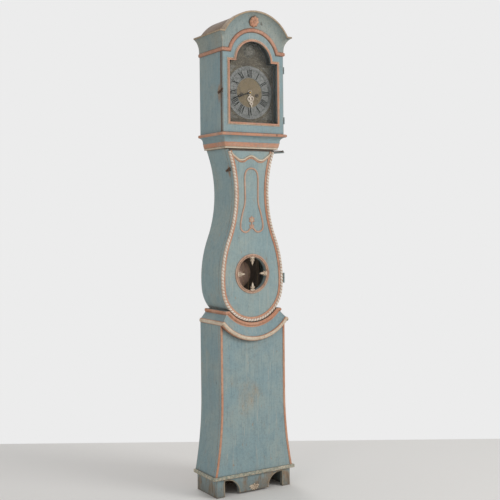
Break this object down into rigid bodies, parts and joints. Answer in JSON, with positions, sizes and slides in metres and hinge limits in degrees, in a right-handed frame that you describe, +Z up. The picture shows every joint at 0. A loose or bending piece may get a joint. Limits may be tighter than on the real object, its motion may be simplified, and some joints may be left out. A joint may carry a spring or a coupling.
{
  "type": "longcase clock",
  "caption": "Tall painted wooden floor clock with a pear-shaped waist, arched sliding hood, hinged doors, pendulum, weights and a geared movement.",
  "frame": {"origin": "on the floor, under the middle of the whole clock", "axes": "+Z up, -Y out of the clock's front, +X to the right seen from the front"},
  "size_m": [0.4178, 0.235, 2.1],
  "materials": {
    "teal_paint": "worn distemper paint on pine",
    "cream_paint": "worn cream paint on pine",
    "salmon_paint": "worn salmon paint on pine",
    "dark_paint": "worn paint on pine",
    "raw_pine": "unpainted old pine",
    "wrought_iron": "forged, dark",
    "old_glass": "hand-blown",
    "dial_paint": "worn",
    "ring_paint": "aged white",
    "gilt_brass": "cast, tarnished",
    "plate_brass": "old, brushed",
    "hand_steel": "blued, dark",
    "gut": "twisted gut"
  },
  "bodies": {
    "case": {"plinth_front": "dark_paint", "plinth_sides": "dark_paint", "base_front": "teal_paint", "base_sides": "teal_paint", "base_bottom": "raw_pine", "plinth_moulding": "cream_paint", "collar_front": "cream_paint", "collar_sides": "cream_paint", "waist_side_right": "teal_paint", "waist_side_left": "teal_paint", "case_rails": "raw_pine", "backboard": "raw_pine", "seatboard": "raw_pine", "throat_moulding": "cream_paint", "case_ironwork": "wrought_iron", "dial_plate": "dial_paint", "chapter_ring": "ring_paint", "dial_ornaments": "gilt_brass", "front_plate": "plate_brass", "back_plate": "plate_brass", "suspension_cock": "plate_brass", "bell": "gilt_brass", "line_going": "gut", "line_strike": "gut"},
    "waist_door": {"waist_door": "teal_paint", "rope_moulding": "cream_paint", "window_surround": "cream_paint", "waist_door_ironwork": "wrought_iron"},
    "waist_latch": {"waist_latch": "wrought_iron"},
    "hood": {"hood_sides": "teal_paint", "hood_crown": "teal_paint", "cornice_sides": "teal_paint", "hood_bead": "salmon_paint", "hood_roof": "raw_pine", "hood_runners": "raw_pine", "hood_ironwork": "wrought_iron"},
    "hood_door": {"hood_door_frame": "teal_paint", "hood_door_glass": "old_glass", "hood_door_ironwork": "wrought_iron"},
    "hood_latch": {"hood_latch": "wrought_iron"},
    "minute": {"centre_wheel": "plate_brass", "minute_hand": "hand_steel"},
    "hour": {"hour_wheel": "plate_brass", "hour_hand": "hand_steel"},
    "minute_wheel": {"minute_wheel": "plate_brass"},
    "great": {"going_great_wheel": "plate_brass"},
    "third": {"third_wheel": "plate_brass"},
    "escape": {"escape_wheel": "plate_brass"},
    "anchor": {"anchor": "hand_steel"},
    "pendulum": {"pendulum_rod": "hand_steel", "pendulum_bob": "gilt_brass"},
    "going_barrel": {"going_barrel": "plate_brass"},
    "strike_barrel": {"strike_barrel": "plate_brass"},
    "strike_great": {"strike_great_wheel": "plate_brass"},
    "pin_wheel": {"pin_wheel": "plate_brass"},
    "hammer": {"hammer": "hand_steel"},
    "weight_going": {"weight_going": "wrought_iron"},
    "weight_strike": {"weight_strike": "wrought_iron"},
    "pulley_going": {"pulley_going": "plate_brass"},
    "pulley_strike": {"pulley_strike": "plate_brass"}
  },
  "joints": [
    {"name": "waist_door_hinge", "type": "hinge", "parent": "case", "child": "waist_door", "pos_m": [0.1635, -0.0635, 1.12], "axis": [0, 0, 1], "range_deg": [0, 100]},
    {"name": "waist_latch_turn", "type": "hinge", "parent": "case", "child": "waist_latch", "pos_m": [-0.09596, -0.0225, 1.419], "axis": [-0.9819, 0, -0.1894], "range_deg": [-20, 70]},
    {"name": "hood_slide", "type": "slide", "parent": "case", "child": "hood", "axis": [0, -1, 0], "range_m": [0, 0.22]},
    {"name": "hood_door_hinge", "type": "hinge", "parent": "hood", "child": "hood_door", "pos_m": [0.1566, -0.0875, 1.75], "axis": [0, 0, 1], "range_deg": [0, 110]},
    {"name": "hood_latch_turn", "type": "hinge", "parent": "hood", "child": "hood_latch", "pos_m": [-0.1535, -0.0545, 1.75], "axis": [-1, 0, 0], "range_deg": [-20, 70]},
    {"name": "minute_turn", "type": "hinge", "parent": "case", "child": "minute", "pos_m": [0, 0.0175, 1.758], "axis": [0, 1, 0], "continuous": true},
    {"name": "hour_turn", "type": "hinge", "parent": "case", "child": "hour", "pos_m": [0, -0.0425, 1.758], "axis": [0, 1, 0], "continuous": true},
    {"name": "minute_wheel_turn", "type": "hinge", "parent": "case", "child": "minute_wheel", "pos_m": [0, -0.0405, 1.7832], "axis": [0, 1, 0], "continuous": true},
    {"name": "great_turn", "type": "hinge", "parent": "case", "child": "great", "pos_m": [0.0385, -0.0255, 1.748], "axis": [0, 1, 0], "continuous": true},
    {"name": "third_turn", "type": "hinge", "parent": "case", "child": "third", "pos_m": [0.01187, -0.0315, 1.79167], "axis": [0, 1, 0], "continuous": true},
    {"name": "escape_turn", "type": "hinge", "parent": "case", "child": "escape", "pos_m": [0, 0.0005, 1.816], "axis": [0, 1, 0], "continuous": true},
    {"name": "pendulum_swing", "type": "hinge", "parent": "case", "child": "pendulum", "pos_m": [0, 0.0555, 1.848], "axis": [0, 1, 0], "range_deg": [-3, 3]},
    {"name": "anchor_rock", "type": "hinge", "parent": "case", "child": "anchor", "pos_m": [0, 0.0005, 1.848], "axis": [0, 1, 0], "range_deg": [-3, 3]},
    {"name": "weight_going_lift", "type": "slide", "parent": "case", "child": "weight_going", "axis": [0, 0, 1], "range_m": [0, 1.13], "deforming": ["line_going"]},
    {"name": "going_barrel_turn", "type": "hinge", "parent": "case", "child": "going_barrel", "pos_m": [0.0385, -0.0045, 1.748], "axis": [0, 1, 0], "range_deg": [0, 4981]},
    {"name": "pulley_going_turn", "type": "hinge", "parent": "weight_going", "child": "pulley_going", "pos_m": [0.037, -0.0045, 0.47], "axis": [0, 1, 0], "range_deg": [0, 2644]},
    {"name": "weight_strike_lift", "type": "slide", "parent": "case", "child": "weight_strike", "axis": [0, 0, 1], "range_m": [0, 1.13], "deforming": ["line_strike"]},
    {"name": "strike_barrel_turn", "type": "hinge", "parent": "case", "child": "strike_barrel", "pos_m": [-0.0385, -0.0045, 1.748], "axis": [0, -1, 0], "range_deg": [0, 4981]},
    {"name": "pulley_strike_turn", "type": "hinge", "parent": "weight_strike", "child": "pulley_strike", "pos_m": [-0.037, -0.0045, 0.47], "axis": [0, -1, 0], "range_deg": [0, 2644]},
    {"name": "pin_wheel_turn", "type": "hinge", "parent": "case", "child": "pin_wheel", "pos_m": [-0.04541, -0.0295, 1.78717], "axis": [0, 1, 0], "continuous": true},
    {"name": "strike_great_turn", "type": "hinge", "parent": "case", "child": "strike_great", "pos_m": [-0.0385, 0.0145, 1.748], "axis": [0, 1, 0], "continuous": true},
    {"name": "hammer_lift", "type": "hinge", "parent": "case", "child": "hammer", "pos_m": [-0.058, 0.0125, 1.85], "axis": [0, -1, 0], "range_deg": [0, 15], "stiffness_Nm_per_rad": 0.02, "springref_deg": -17.19}
  ],
  "couplings": [
    {"joint": "hour_turn", "follows": "minute_turn", "ratio": 0.083333},
    {"joint": "minute_wheel_turn", "follows": "minute_turn", "ratio": -0.5},
    {"joint": "great_turn", "follows": "minute_turn", "ratio": -0.125},
    {"joint": "third_turn", "follows": "minute_turn", "ratio": -7.5},
    {"joint": "escape_turn", "follows": "minute_turn", "ratio": 63.75},
    {"joint": "anchor_rock", "follows": "pendulum_swing", "ratio": 1},
    {"joint": "going_barrel_turn", "follows": "weight_going_lift", "rad_per_m": 76.923},
    {"joint": "pulley_going_turn", "follows": "weight_going_lift", "rad_per_m": 40.816},
    {"joint": "strike_barrel_turn", "follows": "weight_strike_lift", "rad_per_m": 76.923},
    {"joint": "pulley_strike_turn", "follows": "weight_strike_lift", "rad_per_m": 40.816},
    {"joint": "pin_wheel_turn", "follows": "strike_great_turn", "ratio": -8}
  ]
}
